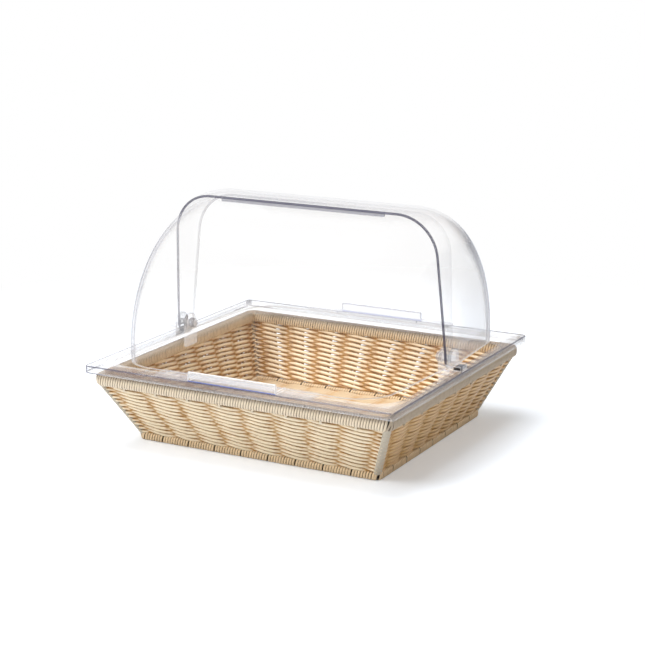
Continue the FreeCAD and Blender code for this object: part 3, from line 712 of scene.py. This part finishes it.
def corner_edge(x, y, z):
    """The four round corners of the skirt, and the foot of the skirt beside them, painted as
    grey lines of shade. They are darkest on the left, where the floor behind them is white."""
    corner = (x.size() - frame_high.x) + (y.size() - frame_high.y)
    upright = past(corner, -CORNER_ROUND, 2 * SOFT) * past(z, skirt_foot)
    foot = (band(z, skirt_foot + SKIRT_LINE / 2, SKIRT_LINE)
            * past(corner, -CORNER_REACH, CORNER_FADE)
            * past(outside_of_frame(x, y), -CLEAR_FOOT, 0.6 * SOFT))
    return upright.at_least(foot) * (1 - x.ease(-0.10, 0.10) * 0.65)


def over_the_rim(x, y, z):
    """What lies over the front of the rim, up to its left end: painted brown, for the cane in
    shade seen through it.
    """
    front = y.ease(RIM_REACH - frame_high.y, RIM_REACH - RIM_FADE - frame_high.y)
    along = past(x, -RIM_LEFT_END, RIM_FADE) * x.ease(0.13, -0.05).at_least(0.8)
    return front * along * past(z, skirt_foot + CLEAR_FOOT)


def right_skirt(x, y, z):
    """The right side of the flange and its skirt: painted grey brown, for the rim in shade seen
    through it.
    """
    right = x.ease(frame_high.x - RIGHT_FLANGE, frame_high.x - RIGHT_FLANGE + 2.6 * SOFT)
    return right * past(z, skirt_foot + CLEAR_FOOT)


def mouth_edge(x, y, z):
    """The lip of the opening, which catches the light all the way round."""
    inside = outside_of_frame(x, y).ease(-MOUTH_INSET, -MOUTH_INSET - 1.2 * SOFT)
    return inside * past(z, frame_high.z - 1.1 * SOFT)


dress(clear_finish("clear_frame", 0.13, 0.30,
                   (over_the_rim, (0.36, 0.28, 0.24, 1), 0.39),
                   (right_skirt, (0.38, 0.33, 0.30, 1), 0.36),
                   (mouth_edge, WHITE, 0.30),
                   (skirt_edge, WHITE, 0.26),
                   (corner_edge, CORNER_GREY, 0.80),
                   (top_edge, VIOLET_GREY, 0.80)), "cover_frame")


# The two cover halves: thin clear shells, moulded as parts of two barrels about one axis, the
# hinge. Their free edges show as thin painted lines of shade, of which the rear cover's is the
# dark one over the arch, and their lowest edges as painted white highlights.
FREE_LEAN = math.radians(4.3)
EAR_RADIUS = 0.0113
EDGE_LINE, EDGE_SOFT = 0.0011, 0.0007
LEFT_WALL, WALL_FADE = 0.140, 0.015
LEFT_WALL_TOP, TOP_FADE = 0.225, 0.020
hinge = Vector(frame["joints"][1]["pos_m"])


def free_edge(facing, right):
    """The painted line of shade along the free edge of the cover on the side of the bin that
    facing gives. It is a little fainter down the left wall, and right is how strong it is in its
    right half."""
    def line(x, y, z):
        away = (y - hinge.y) * facing
        behind = away * -math.cos(FREE_LEAN) - (z - hinge.z) * math.sin(FREE_LEAN)
        left = (x.ease(-LEFT_WALL, -LEFT_WALL - WALL_FADE)
                * z.ease(LEFT_WALL_TOP, LEFT_WALL_TOP - TOP_FADE))
        strength = (1 - left * 0.2) * (1 - x.ease(-0.05, 0.10) * (1 - right))
        return past(behind, EAR_RADIUS - EDGE_LINE, EDGE_SOFT) * strength
    return line


def foot_edge(x, y, z):
    """The lowest edge of a cover, level with the foot of its ears: a painted white highlight."""
    return (z - hinge.z + EAR_RADIUS).ease(SKIRT_LINE, SKIRT_LINE - EDGE_SOFT)


dress(clear_finish("clear_front_cover", 0.014, 0.80,
                   (foot_edge, WHITE, 0.35),
                   (free_edge(-1, 0.4), (0.30, 0.29, 0.34, 1), 0.36)), "front_cover_shell")
dress(clear_finish("clear_rear_cover", 0.014, 0.80,
                   (foot_edge, WHITE, 0.35),
                   (free_edge(1, 1.0), VIOLET_GREY, 0.85)), "rear_cover_shell")


# The grips: a flat tab on the foot of each cover with an upturned lip for a finger. Light
# comes out white along the top of the front lip and blue along the bottom of the tab. The
# rear grip stands before a white floor, so its outline is grey.
LIP_HALF = 0.05
LIP_LINE = 0.0014
LIP_SOFT = 0.0008
FOOT_LINE = 0.0014
FOOT_REACH = 0.0028
FOOT_BLUE = (0.10, 0.15, 0.46, 1)
tab_low, tab_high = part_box("front_grip")


def lip_foot(x, y, z):
    """The bottom of the tab, along its outer edge."""
    low = z.ease(tab_low.z + FOOT_LINE, tab_low.z + FOOT_LINE / 2)
    middle = x.size().ease(LIP_HALF + 0.0015, LIP_HALF - 0.0005)
    return low * middle * past(y.size(), -tab_low.y - FOOT_REACH, LIP_SOFT)


def lip_body(x, y, z):
    """The upturned lip, above the tab."""
    middle = x.size().ease(LIP_HALF + LIP_SOFT / 2, LIP_HALF)
    return middle * past(z, tab_low.z + 0.0022, LIP_SOFT)


def lip_edges(x, y, z):
    """The two ends of the lip, and its top."""
    top = past(z, tab_high.z - 0.0015, 0.0009)
    return band(x.size(), LIP_HALF, LIP_LINE).at_least(top)


blue_foot = (lip_foot, FOOT_BLUE, 0.75)
dress(clear_finish("clear_front_grip", 0.12, 0.26, (lip_body, CLEAR_WHITE, 0.27),
                   (lip_edges, WHITE, 0.55), blue_foot, glow=0.08), "front_grip")
dress(clear_finish("clear_rear_grip", 0.34, 0.20, (lip_edges, SOFT_GREY, 0.50), blue_foot,
                   glow=0.35), "rear_grip")


# The stop strip: a straight clear bar under the front edge of the rear cover. It is thicker
# than the cover that it stiffens, so it looks grey all over.
STRIP_GREY = (0.40, 0.40, 0.46, 1)


def whole_strip(x, y, z):
    """1 all over the strip, which reaches less far than the frame does."""
    return x.size().ease(frame_high.x + 0.02, frame_high.x + 0.01)


dress(clear_finish("clear_strip", 0.3, 0.30, (whole_strip, STRIP_GREY, 0.50)), "stop_strip")


# The hinge brackets and their pins: small clear mouldings whose round outlines catch the
# light, drawn as painted dark lines, so that they read as rings about the hinge axis; the
# edges of the block are painted the same way. The slot in the right block looks dark, on the
# side away from the broad lamp, and is painted black as shade.
DARK_EDGE = (0.16, 0.16, 0.19, 1)
SLOT_BLACK = (0.01, 0.01, 0.015, 1)
CHEEK_RING, CHEEK_LINE = 0.0100, 0.0010
PIN_RING, PIN_LINE = 0.0048, 0.0009
SLOT_PLACE, SLOT_LONG = 0.1706, 0.0090
SLOT_RISE, SLOT_TALL = 0.00305, 0.0034
SLOT_HALF = 0.0072
BLOCK_TOP, BLOCK_SIDE, BLOCK_START = 0.0068, 0.0068, 0.1650
block_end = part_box("hinge_bracket_right")[1].x


def from_hinge(y, z):
    """How far a place lies from the hinge axis."""
    rise, run = z - hinge.z, y - hinge.y
    return (rise * rise + run * run).root()


def cheek_ring(x, y, z):
    """The round outline of the cheeks of the fork."""
    return band(from_hinge(y, z), CHEEK_RING, CHEEK_LINE) * past(z, hinge.z - 0.006, 3 * SOFT)


def pin_ring(x, y, z):
    """The bevel of the pin's head."""
    return band(from_hinge(y, z), PIN_RING, PIN_LINE)


def block_slot(x, y, z):
    """The slot in the block of the right bracket."""
    long = band(x.size(), SLOT_PLACE, SLOT_LONG) * x.ease(0, 0.1)
    tall = band(z, frame_high.z + SLOT_RISE, SLOT_TALL)
    return long * tall * y.size().ease(SLOT_HALF, SLOT_HALF - 0.3 * SOFT)


def block_edges(x, y, z):
    """The outer edges of the block, where two of its faces meet."""
    end = band(x.size(), block_end - 0.0004, 0.0012)
    outer = past(x.size(), BLOCK_START, SOFT / 2)
    top = band(z, frame_high.z + BLOCK_TOP, 0.0011) * outer
    side = band(y.size(), BLOCK_SIDE, 0.0009) * outer
    return (end * top).at_least(end * side).at_least(top * side)


dress(clear_finish("clear_brackets", 0.24, 0.08, (cheek_ring, DARK_EDGE, 0.34),
                   (block_edges, DARK_EDGE, 0.40), (block_slot, SLOT_BLACK, 1.0),
                   glow=0.40), "hinge_bracket_left", "hinge_bracket_right")
dress(clear_finish("clear_pins", 0.26, 0.08, (pin_ring, DARK_EDGE, 0.34), glow=0.40),
      "hinge_pin_left", "hinge_pin_right")
